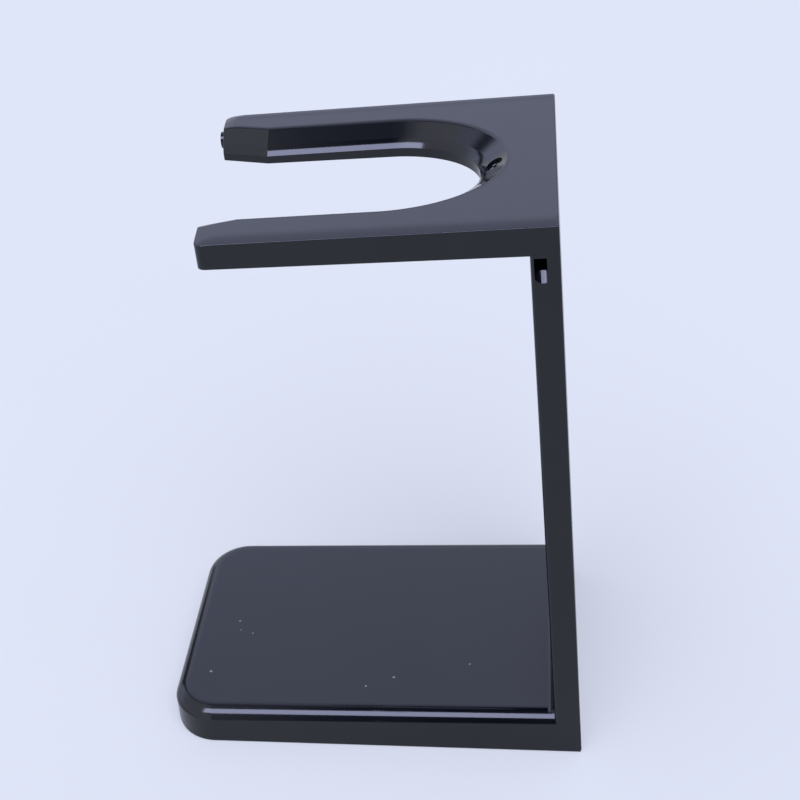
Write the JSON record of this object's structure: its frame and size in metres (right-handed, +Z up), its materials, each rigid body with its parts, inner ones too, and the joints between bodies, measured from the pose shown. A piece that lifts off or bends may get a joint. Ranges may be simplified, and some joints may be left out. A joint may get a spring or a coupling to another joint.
{
  "type": "shaving brush stand",
  "caption": "Moulded plastic drip stand: low wedge-shaped base with rounded corners, upright blade and horizontal fork whose open slot holds a shaving brush.",
  "frame": {"origin": "middle of the footprint, on the surface the stand rests on", "axes": "+Z up, the open mouth of the fork and the front of the base face -Y, the upright stands at +Y, X is the width"},
  "size_m": [0.045, 0.0674, 0.0949],
  "materials": {
    "fork_plastic": "polished black",
    "body_plastic": "polished black",
    "plate_plastic": "fine satin black"
  },
  "bodies": {
    "root": {"fork": "fork_plastic", "stand_body": "body_plastic", "bottom_plate": "plate_plastic"}
  },
  "joints": []
}
